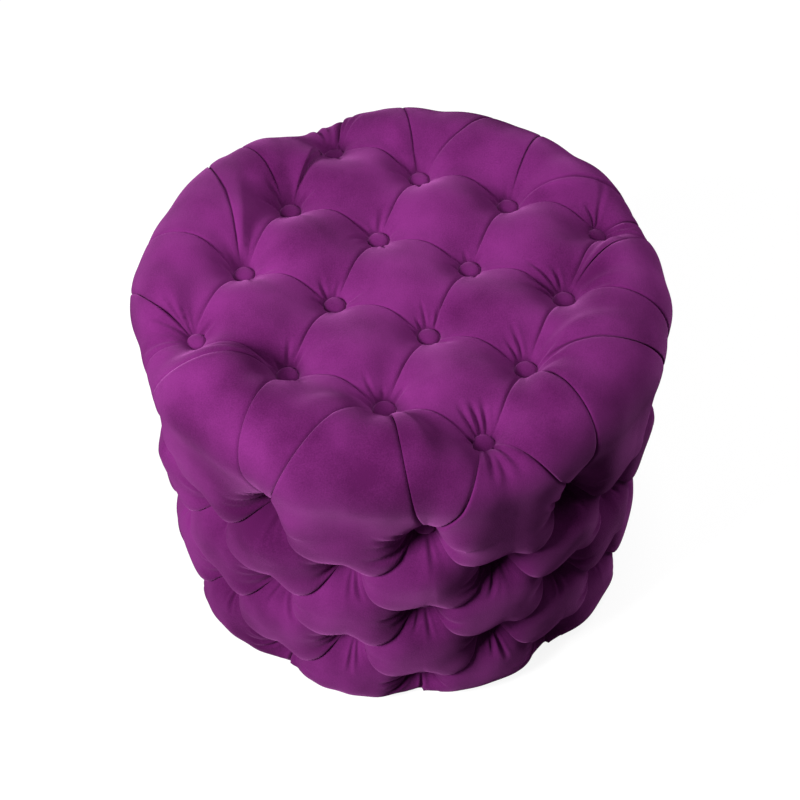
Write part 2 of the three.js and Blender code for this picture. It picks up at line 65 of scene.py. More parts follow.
def add_pattern(nodes, links, kind, scale, stretch=(1, 1, 1), detail=4.0):
    """A noise, wave or cell pattern on the piece's own coordinates, as its value output."""
    place = nodes.new("ShaderNodeTexCoord")
    mapping = nodes.new("ShaderNodeMapping")
    mapping.inputs["Scale"].default_value = stretch
    pattern = nodes.new(kind)
    pattern.inputs["Scale"].default_value = scale
    if "Detail" in pattern.inputs:
        pattern.inputs["Detail"].default_value = detail
    links.new(place.outputs["Object"], mapping.inputs["Vector"])
    links.new(mapping.outputs["Vector"], pattern.inputs["Vector"])
    return pattern.outputs["Distance" if kind == "ShaderNodeTexVoronoi" else 0]


def add_ramp(nodes, links, value, stops):
    """Colours laid along a value, given as (place, (red, green, blue))."""
    ramp = nodes.new("ShaderNodeValToRGB")
    elements = ramp.color_ramp.elements
    while len(elements) < len(stops):
        elements.new(0.5)
    for element, (place, colour) in zip(elements, stops):
        element.position = place
        element.color = (*colour, 1)
    links.new(value, ramp.inputs["Fac"])
    return ramp.outputs["Color"]


def add_bump(nodes, links, shader, value, depth, strength=1.0, under=None):
    """Raises the surface by a pattern, depth in metres, on top of another bump if one is given."""
    bump = nodes.new("ShaderNodeBump")
    bump.inputs["Distance"].default_value = depth
    bump.inputs["Strength"].default_value = strength
    links.new(value, bump.inputs["Height"])
    if under is not None:
        links.new(under, bump.inputs["Normal"])
    links.new(bump.outputs["Normal"], shader.inputs["Normal"])
    return bump.outputs["Normal"]


def add_range(nodes, links, value, low, high):
    """Spreads a pattern between two values."""
    spread = nodes.new("ShaderNodeMapRange")
    spread.inputs["From Min"].default_value = 0.25
    spread.inputs["From Max"].default_value = 0.75
    spread.inputs["To Min"].default_value = low
    spread.inputs["To Max"].default_value = high
    links.new(value, spread.inputs["Value"])
    return spread.outputs["Result"]


def dress(names, material):
    """Gives CAD pieces their finish."""
    for name in names:
        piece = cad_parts[name]
        piece.data.materials.clear()
        piece.data.materials.append(material)


plastic, nodes, links, shader = new_material("glide_plastic", 0.45)
scuffs = add_pattern(nodes, links, "ShaderNodeTexNoise", 90, (1, 1, 0.2), 6)
links.new(
    add_ramp(nodes, links, scuffs, [(0.35, (0.012, 0.012, 0.013)), (0.75, (0.035, 0.034, 0.033))]),
    shader.inputs["Base Color"],
)
links.new(add_range(nodes, links, scuffs, 0.35, 0.6), shader.inputs["Roughness"])
add_bump(nodes, links, shader, add_pattern(nodes, links, "ShaderNodeTexNoise", 1500), 0.0001)
dress([f"glide_{number}" for number in range(1, 5)], plastic)


# Dust cover. A disc of thin black non-woven cloth stapled under the base. Its fibres are pressed
# together in fine dimples.
black_cloth, nodes, links, shader = new_material("dust_cloth", 0.9)
fibres = add_pattern(nodes, links, "ShaderNodeTexNoise", 700, (1, 1, 1), 8)
dimples = add_pattern(nodes, links, "ShaderNodeTexVoronoi", 600)
links.new(
    add_ramp(nodes, links, fibres, [(0.3, (0.006, 0.006, 0.007)), (0.7, (0.022, 0.022, 0.024))]),
    shader.inputs["Base Color"],
)
pressed = add_bump(nodes, links, shader, dimples, 0.0003)
add_bump(nodes, links, shader, fibres, 0.0002, 1.0, pressed)
dress(["dust_cover"], black_cloth)


# Boards. The base is a ring and the top a disc, both sawn from 15 mm plywood. Their edges show the
# plies, and their faces a flat, wild grain.
plywood, nodes, links, shader = new_material("plywood", 0.65)
grain = add_pattern(nodes, links, "ShaderNodeTexNoise", 14, (1, 9, 1), 8)
plies = add_pattern(nodes, links, "ShaderNodeTexWave", 55, (0, 0, 1), 0)
grain_colours = [(0.3, (0.42, 0.27, 0.13)), (0.55, (0.56, 0.39, 0.21)), (0.75, (0.66, 0.49, 0.29))]
face_colour = add_ramp(nodes, links, grain, grain_colours)
ply_colour = add_ramp(nodes, links, plies, [(0.3, (0.25, 0.14, 0.06)), (0.6, (0.6, 0.43, 0.24))])
facing = nodes.new("ShaderNodeNewGeometry")
tilt = nodes.new("ShaderNodeSeparateXYZ")
upright = nodes.new("ShaderNodeMath")
upright.operation = "ABSOLUTE"
mix = nodes.new("ShaderNodeMix")
mix.data_type = "RGBA"
links.new(facing.outputs["Normal"], tilt.inputs["Vector"])
links.new(tilt.outputs["Z"], upright.inputs[0])
links.new(upright.outputs["Value"], mix.inputs["Factor"])
links.new(ply_colour, mix.inputs["A"])
links.new(face_colour, mix.inputs["B"])
links.new(mix.outputs["Result"], shader.inputs["Base Color"])
links.new(add_range(nodes, links, grain, 0.55, 0.8), shader.inputs["Roughness"])
add_bump(nodes, links, shader, grain, 0.0003)
dress(["base_board", "top_board"], plywood)


# Posts. Four square lengths of planed softwood stand between the boards. Their grain runs upwards.
softwood, nodes, links, shader = new_material("softwood", 0.6)
rings = add_pattern(nodes, links, "ShaderNodeTexNoise", 60, (1, 1, 0.06), 6)
ring_colours = [(0.35, (0.48, 0.3, 0.13)), (0.5, (0.68, 0.5, 0.28)), (0.7, (0.75, 0.6, 0.38))]
links.new(add_ramp(nodes, links, rings, ring_colours), shader.inputs["Base Color"])
links.new(add_range(nodes, links, rings, 0.5, 0.7), shader.inputs["Roughness"])
add_bump(nodes, links, shader, rings, 0.0003)
dress([f"post_{number}" for number in range(1, 5)], softwood)


# Screws. Two countersunk zinc-plated wood screws hold each post, one through either board.
zinc, nodes, links, shader = new_material("zinc_plate", 0.35, 1.0)
dulling = add_pattern(nodes, links, "ShaderNodeTexNoise", 400, (1, 1, 1), 6)
links.new(
    add_ramp(nodes, links, dulling, [(0.3, (0.42, 0.43, 0.45)), (0.7, (0.6, 0.61, 0.62))]),
    shader.inputs["Base Color"],
)
links.new(add_range(nodes, links, dulling, 0.25, 0.5), shader.inputs["Roughness"])
add_bump(nodes, links, shader, add_pattern(nodes, links, "ShaderNodeTexWave", 130, (0, 0, 1), 0), 0.0004)
screws = [f"{board}_screw_{number}" for board in ("top", "base") for number in range(1, 5)]
dress(screws, zinc)


# Skin. One strip of 3 mm hardboard, bent round both boards and tacked to them, with its butt at the
# back. It is brown, smooth and faintly mottled.
hardboard, nodes, links, shader = new_material("hardboard", 0.7)
mottle = add_pattern(nodes, links, "ShaderNodeTexNoise", 180, (1, 1, 1), 8)
links.new(
    add_ramp(nodes, links, mottle, [(0.3, (0.13, 0.07, 0.035)), (0.7, (0.22, 0.13, 0.07))]),
    shader.inputs["Base Color"],
)
links.new(add_range(nodes, links, mottle, 0.6, 0.8), shader.inputs["Roughness"])
add_bump(nodes, links, shader, mottle, 0.0002)
dress(["side_skin"], hardboard)


# Padding. Foam on the top board and round the drum, which the twines draw down to the surface that the
# buttons sit on. Between them it swells into square puffs on top, a rolled rim and diamonds below.
# Lengths are in metres, and the seat is the surface that the buttons sit on.
grid_count = 4
column_count = 10
row_count = 5
grid_pitch = 0.09994
top_seat = 0.3692
side_seat = 0.2217
seat_corner = 0.017
puff_middle = 0.030
button_height = 0.008
corner_start = side_seat - seat_corner
corner_height = top_seat - seat_corner
corner_reach = (seat_corner + puff_middle) * math.pi / 2
highest_row = 0.2839
lowest_row = 0.034
hem_height = 0.0076
column_turn = math.radians(-6)
half_column = math.pi / column_count


def flat_place(reach, turn):
    """A place on the cover laid out flat: its distance from the middle of the top, and its turn."""
    return Vector((reach * math.sin(turn), -reach * math.cos(turn), 0))


def top_place(row, column):
    """A button of the square grid, counted from the back left. The outermost sit on the rounded edge."""
    middle = (grid_count - 1) / 2
    spot = Vector(((column - middle) * grid_pitch, (middle - row) * grid_pitch, 0))
    past = max(0.0, spot.length - corner_start) / (seat_corner + button_height)
    reach = min(spot.length, corner_start) + math.asin(past) * (seat_corner + puff_middle)
    return spot.normalized() * reach


def side_place(row, column):
    """A button of the drum, counted down from the rim and round to the right."""
    height = highest_row - row * (highest_row - lowest_row) / (row_count - 1)
    turn = column_turn + (2 * column + row % 2) * half_column
    return flat_place(corner_start + corner_reach + corner_height - height, turn)


def foot_place(half_columns):
    """A place where the cover meets the floor."""
    turn = column_turn + half_columns * half_column
    return flat_place(corner_start + corner_reach + corner_height - hem_height, turn)


# Cells of the cover, as corners in turn. The edge of the top grid has twelve buttons, which the ten
# highest side buttons share out among them.
top_buttons = [top_place(row, column) for row in range(grid_count) for column in range(grid_count)]
square_cells = [
    [top_buttons[corner + step] for step in (0, grid_count, grid_count + 1, 1)]
    for corner in range(len(top_buttons))
    if corner % grid_count < grid_count - 1 and corner < len(top_buttons) - grid_count
]
fans = [[13, 14], [14, 15], [15, 11], [11, 7], [7, 3, 2], [2, 1], [1, 0, 4], [4, 8], [8, 12], [12, 13]]
edge_cells = [
    [top_buttons[one], side_place(0, column), top_buttons[other]]
    for column, fan in enumerate(fans)
    for one, other in zip(fan, fan[1:])
]
rim_cells = [
    [top_buttons[fan[-1]], side_place(0, column), side_place(1, column), side_place(0, column + 1)]
    for column, fan in enumerate(fans)
]


def side_cells(first):
    """The puffs of half the drum, from a column on."""
    cells = []
    for row in range(row_count - 1):
        shift = row % 2
        for column in range(first + 1 - shift, first + column_count // 2 + 1 - shift):
            top, left = side_place(row, column), side_place(row + 1, column - 1 + shift)
            right = side_place(row + 1, column + shift)
            if row < row_count - 2:
                cells.append([top, left, side_place(row + 2, column), right])
            else:
                cells.append([top, left, foot_place(2 * column), foot_place(2 * column + 1)])
                cells.append([top, foot_place(2 * column + 1), foot_place(2 * column + 2), right])
    return cells


# Pleats. One runs along each side of a cell, apart from the middle and the bottom of the lowest puffs.
def sides_of(cells):
    """Every side of the cells once, as its two ends."""
    found = []
    for cell in cells:
        for start, end in zip(cell, cell[1:] + cell[:1]):
            ends = sorted(tuple(round(value, 5) for value in corner) for corner in (start, end))
            if ends not in found:
                found.append(ends)
    return found


all_cells = square_cells + edge_cells + rim_cells + side_cells(0) + side_cells(column_count // 2)
foot_reach = foot_place(0).length
foot_slack = 0.001
longest_foot_pleat = 0.06
pleats = []
for start, end in sides_of(all_cells):
    near, far = sorted([math.hypot(*start), math.hypot(*end)])
    on_hem = near > foot_reach - foot_slack
    down_middle = far > foot_reach - foot_slack and near < foot_reach - longest_foot_pleat
    if not on_hem and not down_middle:
        pleats.append((start[:2], end[:2]))
pleat_starts = np.array([start for start, _ in pleats])
pleat_ends = np.array([end for _, end in pleats])
button_places = np.array(
    [place.to_2d() for place in top_buttons]
    + [side_place(row, column).to_2d() for row in range(row_count) for column in range(column_count)]
)
button_reaches = np.hypot(*button_places.T)

# Reaches, from the middle of the top, between which the cover takes its straight sides, comes to the
# rim, comes to the drum, and nears the floor.
straight_from, straight_past = 0.20, 0.28
rim_from, rim_past = 0.16, 0.23
drum_from, drum_past = 0.29, 0.36
low_from, low_past = 0.45, 0.60
up = np.array([0.0, 0.0, 1.0])
tiny = 1e-6


def step_up(value, low, high):
    """Rises smoothly from 0 to 1 between two values."""
    share = np.clip((value - low) / (high - low), 0, 1)
    return share * share * (3 - 2 * share)


def reach_and_turn(flat):
    """Where flat places lie on the form. Past the rim the flat cover has twenty straight sides."""
    reach = np.hypot(flat[:, 0], flat[:, 1])
    turn = np.arctan2(flat[:, 0], -flat[:, 1])
    sector = np.round((turn - column_turn - half_column / 2) / half_column)
    off_middle = turn - column_turn - half_column / 2 - sector * half_column
    straight = reach * np.cos(off_middle) / math.cos(half_column / 2)
    return reach + (straight - reach) * step_up(reach, straight_from, straight_past), turn


def level_directions(turn):
    """The directions outwards and to the right at some turns."""
    ahead = np.stack([np.sin(turn), -np.cos(turn), np.zeros_like(turn)], 1)
    return ahead, np.stack([np.cos(turn), np.sin(turn), np.zeros_like(turn)], 1)


def tilt_at(reach):
    """How far the form has turned over the rim, from level on top to upright down the drum."""
    return np.clip((reach - corner_start) / (seat_corner + puff_middle), 0, math.pi / 2)


def seat_at(reach, turn):
    """Points of the seat at some reaches and turns, and its directions outwards and downwards."""
    tilt = tilt_at(reach)
    drop = np.maximum(0, reach - corner_start - corner_reach)
    radius = np.minimum(reach, corner_start) + seat_corner * np.sin(tilt)
    height = corner_height + seat_corner * np.cos(tilt) - drop
    ahead, _ = level_directions(turn)
    point = ahead * radius[:, None] + up * height[:, None]
    out = ahead * np.sin(tilt)[:, None] + up * np.cos(tilt)[:, None]
    along = ahead * np.cos(tilt)[:, None] - up * np.sin(tilt)[:, None]
    return point, out, along


# Each pleat stands over the seat by its rise, and one of its sides laps over the other: the front and
# the right puff on top, the right one on the rim and above the floor, and the upper one down the drum.
# The top's limit lies past its outermost buttons and short of the drum's first.
top_limit = 0.225
edge_start = 0.12
inner_rise = 0.019
edge_rise = 0.024
crosswise_lap = 0.007
lengthwise_lap = 0.0025
rim_rise = 0.041
rim_lap = 0.005
drum_rise = 0.026
lowest_drum_rise = 0.021
drum_lap = 0.0075
foot_rise = 0.020
foot_lap = 0.003
first_row_reach = side_place(0, 0).length
last_row_reach = side_place(row_count - 1, 0).length
straight_down = 0.01


def pleat_facts(start, end):
    """A pleat's rise, the width of its lap, and which of its sides laps over."""
    start, end = Vector(start), Vector(end)
    middle, along = (start + end) / 2, end - start
    right = Vector((-middle.y, middle.x))
    near, far = sorted([start.length, end.length])
    if far < top_limit and abs(along.x) > abs(along.y):
        rise, lap, over = inner_rise, crosswise_lap, Vector((0, -1))
    elif far < top_limit:
        rise, lap, over = inner_rise, lengthwise_lap, Vector((1, 0))
    elif near < top_limit:
        rise, lap, over = rim_rise, rim_lap, right
    elif abs(start.angle_signed(end)) < straight_down:
        rise, lap, over = foot_rise, foot_lap, right
    else:
        down = (middle.length - first_row_reach) / (last_row_reach - first_row_reach)
        rise, lap, over = drum_rise + (lowest_drum_rise - drum_rise) * down, drum_lap, -middle
    if far < top_limit and middle.length > edge_start:
        rise = edge_rise
    side = 1 if along.x * over.y - along.y * over.x > 0 else -1
    return rise, lap, side


pleat_rises, pleat_laps, pleat_sides = np.array([pleat_facts(start, end) for start, end in pleats]).T
chance = np.random.default_rng(7)
pleat_rises = pleat_rises * chance.uniform(0.95, 1.05, len(pleats))

# Pockets. The cloth lies flat under a button, stands up round it in a small collar, and is let go over
# the next centimetre or two. On the drum the pockets run on upwards and to the left, where only a share
# of the distance counts.
flat_radius = 0.0100
collar_rise = 0.006
collar_run = 0.0018
top_spread = 0.020
side_spread = 0.0095
upward_share = 0.66
leftward_share = 0.6


def let_go(from_buttons, on_side, spare):
    """The collar's height, and the share of the puffs' height that the buttons leave."""
    upwards = (from_buttons[:, :, 0] < 0) & (button_reaches > corner_start)
    leftwards = (from_buttons[:, :, 1] < 0) & (button_reaches > foot_reach / 2)
    shares = np.stack([np.where(upwards, upward_share, 1), np.where(leftwards, leftward_share, 1)], 2)
    pull = np.linalg.norm(from_buttons * shares, axis=2) + tiny
    nearest = (pull ** -6.0).sum(1) ** (-1 / 6)
    past = np.maximum(nearest - spare - flat_radius, 0)
    collar = collar_rise * (1 - np.exp(-past / collar_run))
    spread = top_spread + (side_spread - top_spread) * on_side
    return collar, 1 - np.exp(-(past / spread) ** 1.2)


# Gathers. Short creases run out from each button, where the cloth is pinched. On top their directions
# are turns, with 0 to the front and 90 to the right. On the drum 0 points down. The top buttons that
# pinch the most cloth have theirs listed one by one. Each kind of gather has a length and a depth, and its
# crease widens as it runs out.
gather_count = 9
strong_gather = (0.048, 0.0042)
faint_gather = (0.032, 0.003)
left_gather = (0.056, 0.0042)
low_gather = (0.034, 0.0036)


def spread_gathers(directions, length, depth):
    """Gathers in about the given directions, no two alike."""
    return [
        (
            math.radians(direction + chance.normal(0, 4)),
            length * chance.uniform(0.65, 1.25),
            depth * chance.uniform(0.6, 1.2),
        )
        for direction in directions
    ]


def filled_up(found):
    """Adds gathers without depth, so that every button has as many."""
    return found + [(0, 1, 0)] * (gather_count - len(found))


pinched = {
    0: [-127, -148, -160, -169, -178, 172, 45],
    3: [137, 122, 108, 94, -165, -120],
    7: [-65, -90, -118, -140, 108],
    11: [132, 112, 96, 80, 62, -120, -140],
    12: [-135, -121, -107, -92, -75, -57, 150],
    15: [-139, -160, -115, -92, 38, 52, 64, 76],
}
gathers = []
for number, place in enumerate(top_buttons):
    turn = math.degrees(math.atan2(place.x, -place.y))
    elsewhere = [-60, -105, -150, chance.uniform(20, 80), chance.uniform(90, 170)]
    around = [way - turn for way in pinched.get(number, elsewhere)]
    kind = strong_gather if number in pinched else faint_gather
    gathers.append(filled_up(spread_gathers(around, *kind)))
for row in range(row_count):
    for _ in range(column_count):
        leftwards = spread_gathers([-128, -110, -94, -76], *left_gather)
        downwards = list(chance.uniform(-30, 35, 2)) if row < row_count - 1 else [0]
        others = spread_gathers(downwards + [chance.uniform(70, 110)], *low_gather)
        gathers.append(filled_up(leftwards + others))
gathers = np.array(gathers)
crease_width = 0.0012
crease_spread = 0.04
crease_start = 0.0135
crease_fade_share = 0.45
widest_swing = 1.3


def gathered(from_buttons):
    """How deep the closest button's gathers cut into the cloth."""
    to_button = np.linalg.norm(from_buttons, axis=2) + tiny
    closest = to_button.argmin(1)
    places = np.arange(len(closest))
    ray = from_buttons[places, closest]
    ray_length = to_button[places, closest][:, None]
    direction, length, depth = np.moveaxis(gathers[closest], 2, 0)
    swing = np.arctan2(ray[:, 1], ray[:, 0])[:, None] - direction
    swing = (swing + math.pi) % (2 * math.pi) - math.pi
    width = crease_width + crease_spread * ray_length
    aside = np.where(np.abs(swing) < widest_swing, ray_length * np.sin(swing), 1) / width
    fade = step_up(ray_length, flat_radius, crease_start)
    fade = fade * (1 - step_up(ray_length, crease_fade_share * length, length))
    return (depth * fade * (np.exp(-aside ** 2) - 0.35 * np.exp(-(np.abs(aside) - 2) ** 2))).sum(1)


# Puffs. Each steps up from the folds at its pleats and swells between them, least on the rim and most
# down the drum, until it is full some way in. The side that laps over is fuller than the other. The
# filling is a little uneven, in slow waves.
full_depth = 0.034
square_swell = 0.006
rim_swell = 0.0005
fold_height = 0.0055
fold_width = 0.0010
drum_swell = 0.016
lowest_swell = 0.014
top_lopsided = 0.25
side_lopsided = 0.7
wave_height = 0.0025
sunk = 0.006
waves = chance.normal(0, 45, (2, 6))


def puffs(reach, gap, over, on_side, below):
    """The puffs' height at some distances from the pleats, and the swell that they have on the drum."""
    on_rim = step_up(reach, rim_from, rim_past)
    weight = 1 / (gap ** 4 + 1e-11)
    base = (weight * pleat_rises).sum(1) / weight.sum(1)
    lopsided = top_lopsided + (side_lopsided - top_lopsided) * on_side[:, None]
    gap_under = gap * gap / (gap + 0.5 * pleat_laps) * (1 - 0.6 * lopsided)
    gap_in = np.where(over, gap * (1 + lopsided), gap_under)
    depth = (gap_in ** -3.0).sum(1) ** (-1 / 3)
    fullness = np.sin(np.minimum(depth / full_depth, 1) * math.pi / 2)
    top_swell = (square_swell + (rim_swell - square_swell) * on_rim) * fullness ** 1.4
    top_swell = top_swell + fold_height * (1 - np.exp(-depth / fold_width))
    side_swell = (drum_swell + (lowest_swell - drum_swell) * below) * fullness ** 0.5
    return base + top_swell + (side_swell - top_swell) * on_side, side_swell


# Laps. Beside each pleat the puff that laps over it slides out across it, most at a small distance. On
# the drum the puffs droop as well, least under the rim.
lap_peak_share = 0.45
lap_peak = 0.001
rim_droop_share = 0.15
drum_droop_share = 0.6


def slid(off, gap, over, opening):
    """How far the cloth slides outwards and sideways over its pleats."""
    peak = lap_peak_share * pleat_laps + lap_peak
    slide = np.where(over, pleat_laps * (gap / peak) * np.exp(1 - gap / peak), 0) * opening[:, None] ** 2
    return -(off * (slide / gap)[:, :, None]).sum(1)


# Hem. The cover rolls round the foot of the drum and in under the base, where it is stapled. The laps
# fade out above it.
hem_roll = 0.024
hem_width = 0.046
hem_sag = 0.004
hem_sag_run = 0.015
hem_ease = 0.025


def turned_under(lifted, reach, height, ahead, sideways):
    """Takes the places that lie past the foot round the roll and in under the base."""
    past = (reach - foot_reach + hem_roll) / (2 * hem_roll)
    roll = np.clip(past, 0, 1) * math.pi / 2
    under = np.maximum(0, reach - foot_reach - hem_roll)
    edge = side_seat + height - hem_roll + hem_roll * np.cos(roll) - under
    sag = hem_sag * np.sin(roll) * step_up(-under, -hem_sag_run, 0)
    rolled = ahead * edge[:, None] + sideways
    rolled[:, 2] = hem_height + hem_roll * (1 - np.sin(roll)) - sag
    return np.where(past[:, None] > 0, rolled, lifted)


def tufted(flat, spare=0.0):
    """Where flat places of the cover lie once the buttons are drawn down. Spare widens the pockets and
    leaves the gathers out."""
    reach, turn = reach_and_turn(flat)
    point, out, along = seat_at(reach, turn)
    ahead, across = level_directions(turn)
    wide = np.hypot(point[:, 0], point[:, 1]) + puff_middle * np.sin(tilt_at(reach))
    length = np.hypot(flat[:, 0], flat[:, 1])
    narrowing = np.where(length < corner_start, 1, wide / np.maximum(length, corner_start))

    def offsets(places):
        """How far other flat places lie outwards and sideways of each one, in true lengths."""
        off = places - flat[:, None]
        outwards = (off * ahead[:, None, :2]).sum(2)
        return np.stack([outwards, (off * across[:, None, :2]).sum(2) * narrowing[:, None]], 2)

    starts = offsets(pleat_starts)
    run = offsets(pleat_ends) - starts
    share = np.clip(-(starts * run).sum(2) / (run * run).sum(2), 0, 1)
    off = -starts - share[:, :, None] * run
    gap = np.linalg.norm(off, axis=2) + tiny
    over = (run[:, :, 0] * off[:, :, 1] - run[:, :, 1] * off[:, :, 0]) * pleat_sides > 0

    on_side = step_up(reach, drum_from, drum_past)
    below = step_up(reach, low_from, low_past)
    from_buttons = -offsets(button_places)
    collar, opening = let_go(from_buttons, on_side, spare)
    puff_height, side_swell = puffs(reach, gap, over, on_side, below)
    unevenness = wave_height * np.sin(flat @ waves + np.arange(waves.shape[1])).mean(1)
    height = collar + (puff_height + unevenness - sunk) * opening
    if spare == 0:
        height = height - gathered(from_buttons)

    slide = slid(off, gap, over, opening)
    droop_share = rim_droop_share + (drum_droop_share - rim_droop_share) * below
    droop = droop_share * side_swell * on_side * opening ** 3
    slide_out = (slide[:, 0] + droop) * step_up(foot_reach - hem_roll - reach, 0, hem_ease)
    sideways = across * slide[:, 1:]
    lifted = point + out * height[:, None] + along * slide_out[:, None] + sideways
    return turned_under(lifted, reach, height, ahead, sideways)


def hem_cells(first):
    """The strip of half the drum's cover that turns under the base and is stapled there."""
    grown = 1 + (hem_roll + hem_width) / foot_reach
    return [
        [foot_place(step), foot_place(step) * grown, foot_place(step + 1) * grown, foot_place(step + 1)]
        for step in range(2 * first, 2 * first + column_count)
    ]


def lay_out(name, cells, cuts):
    """A cover laid out flat, with each cell cut into a fine grid."""
    cloth = bmesh.new()
    corners = {}
    for cell in cells:
        points = []
        for corner in cell:
            key = (round(corner.x, 5), round(corner.y, 5))
            if key not in corners:
                corners[key] = cloth.verts.new((corner.x, corner.y, 0))
            points.append(corners[key])
        cloth.faces.new(points)
    bmesh.ops.subdivide_edges(cloth, edges=cloth.edges[:], cuts=cuts, use_grid_fill=True)
    bmesh.ops.recalc_face_normals(cloth, faces=cloth.faces[:])
    mesh = bpy.data.meshes.new(name)
    cloth.to_mesh(mesh)
    cloth.free()
    return mesh


# The shares by which the mesh is crowded towards pleats and buttons, and how far away that fades.
pleat_crowding, pleat_crowding_run = 0.6, 0.008
button_crowding, button_crowding_run = 0.45, 0.030


def crowd(flat):
    """Moves flat places towards the nearest pleat and button, which so get more of the mesh."""
    run = pleat_ends - pleat_starts
    share = np.clip(((flat[:, None] - pleat_starts) * run).sum(2) / (run * run).sum(1), 0, 1)
    off = flat[:, None] - pleat_starts - share[:, :, None] * run
    gap = np.linalg.norm(off, axis=2)
    nearest = gap.argmin(1)
    rows = np.arange(len(flat))
    share = pleat_crowding * np.exp(-gap[rows, nearest] / pleat_crowding_run)
    drawn = flat - off[rows, nearest] * share[:, None]
    from_buttons = drawn[:, None] - button_places
    closest = (from_buttons ** 2).sum(2).argmin(1)
    ray = from_buttons[rows, closest]
    share = button_crowding * np.exp(-(ray ** 2).sum(1) / button_crowding_run ** 2)
    return drawn - ray * share[:, None]


batch = 3000


def draw_down(mesh, form):
    """Moves a flat cover's points to where they lie on the stool, a batch at a time."""
    places = np.empty(len(mesh.vertices) * 3)
    mesh.vertices.foreach_get("co", places)
    flat = places.reshape(-1, 3)[:, :2]
    batches = [flat[first:first + batch] for first in range(0, len(flat), batch)]
    formed = np.concatenate([form(crowd(places)) for places in batches])
    mesh.vertices.foreach_set("co", formed.ravel())
    mesh.update()


def new_piece(name, mesh, material):
    """Puts a mesh on the stool as a piece of its own."""
    piece = bpy.data.objects.new(name, mesh)
    bpy.context.scene.collection.objects.link(piece)
    mesh.materials.append(material)
    mesh.shade_smooth()
    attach(piece, "root")
    return piece


foam, nodes, links, shader = new_material("foam", 0.95)
cells_in_foam = add_pattern(nodes, links, "ShaderNodeTexVoronoi", 900)
links.new(
    add_ramp(nodes, links, cells_in_foam, [(0.1, (0.62, 0.55, 0.38)), (0.6, (0.84, 0.79, 0.62))]),
    shader.inputs["Base Color"],
)
add_bump(nodes, links, shader, cells_in_foam, 0.0006)
cover_thickness = 0.0024
foam_gap = 0.0006
pocket_spare = 0.007
foam_cuts = 15
board_bottom = 0.0103
board_top = 0.3319
drum_radius = 0.2096


def foam_form(flat):
    """The padding's outside: the cover's form, set in by the cover and a little more."""
    reach, turn = reach_and_turn(flat)
    _, out, _ = seat_at(reach, turn)
    return tufted(flat, pocket_spare) - out * (2 * cover_thickness + foam_gap)


def add_foam(name, solid, node):
    """Makes a closed solid of foam one piece of the stool."""
    bmesh.ops.recalc_face_normals(solid, faces=solid.faces[:])
    mesh = bpy.data.meshes.new(name)
    solid.to_mesh(mesh)
    solid.free()
    padding = new_piece(name, mesh, foam)
    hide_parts(node)


def wall_in(solid, ring, radius, height):
    """Draws a ring of edges in to the drum, level with a height."""
    grown = bmesh.ops.extrude_edge_only(solid, edges=ring)["geom"]
    for point in [item for item in grown if isinstance(item, bmesh.types.BMVert)]:
        ahead = Vector((point.co.x, point.co.y, 0)).normalized()
        point.co = ahead * radius + Vector((0, 0, height))
    return [item for item in grown if isinstance(item, bmesh.types.BMEdge)]


def rings_of(solid):
    """The open edges below and above the middle of the drum."""
    open_edges = [line for line in solid.edges if line.is_boundary]
    middle = (board_top + board_bottom) / 2
    low = [line for line in open_edges if line.verts[0].co.z < middle]
    return low, [line for line in open_edges if line.verts[0].co.z >= middle]


whole_padding = lay_out("whole_padding", all_cells, foam_cuts)
draw_down(whole_padding, foam_form)

top_solid = bmesh.new()
top_solid.from_mesh(whole_padding)
bmesh.ops.bisect_plane(
    top_solid, geom=top_solid.verts[:] + top_solid.edges[:] + top_solid.faces[:],
    plane_co=(0, 0, board_top + foam_gap), plane_no=(0, 0, 1), clear_inner=True,
)
bmesh.ops.contextual_create(top_solid, geom=rings_of(top_solid)[1])
add_foam("top_padding", top_solid, "top_foam")

side_solid = bmesh.new()
side_solid.from_mesh(whole_padding)
bmesh.ops.bisect_plane(
    side_solid, geom=side_solid.verts[:] + side_solid.edges[:] + side_solid.faces[:],
    plane_co=(0, 0, board_top), plane_no=(0, 0, 1), clear_outer=True,
)
low_ring, high_ring = rings_of(side_solid)
low_ring = wall_in(side_solid, low_ring, drum_radius, board_bottom)
high_ring = wall_in(side_solid, high_ring, drum_radius, board_top)
bmesh.ops.bridge_loops(side_solid, edges=low_ring + high_ring)
add_foam("side_padding", side_solid, "side_foam")
bpy.data.meshes.remove(whole_padding)


# Covers. Purple velvet, cut in three: one piece over the top and the rim, and one round each half of
# the drum. Their seams hide in pleats, and the side ones are stapled under the base.
def add_up(nodes, links, weighted):
    """The weighted sum of some patterns."""
    total = None
    for value, weight in weighted:
        step = nodes.new("ShaderNodeMath")
        step.operation = "MULTIPLY_ADD"
        step.inputs[1].default_value = weight
        step.inputs[2].default_value = 0
        links.new(value, step.inputs[0])
        if total is not None:
            links.new(total, step.inputs[2])
        total = step.outputs["Value"]
    return total


velvet, nodes, links, shader = new_material("velvet", 0.8)
brushed = add_pattern(nodes, links, "ShaderNodeTexNoise", 9, (1, 1, 1), 2)
mottled = add_pattern(nodes, links, "ShaderNodeTexNoise", 32, (1, 1, 1), 4)
pile = add_pattern(nodes, links, "ShaderNodeTexNoise", 800, (1, 1, 1), 3)
nap = add_up(nodes, links, [(brushed, 0.62), (mottled, 0.18), (pile, 0.2)])
links.new(
    add_ramp(nodes, links, nap, [(0.38, (0.066, 0.006, 0.056)), (0.62, (0.160, 0.018, 0.140))]),
    shader.inputs["Base Color"],
)
links.new(add_range(nodes, links, nap, 0.7, 0.9), shader.inputs["Roughness"])
links.new(add_range(nodes, links, nap, 0.3, 0.55), shader.inputs["Sheen Weight"])
shader.inputs["Specular IOR Level"].default_value = 0.0
shader.inputs["Sheen Roughness"].default_value = 0.5
shader.inputs["Sheen Tint"].default_value = (0.62, 0.17, 0.56, 1)
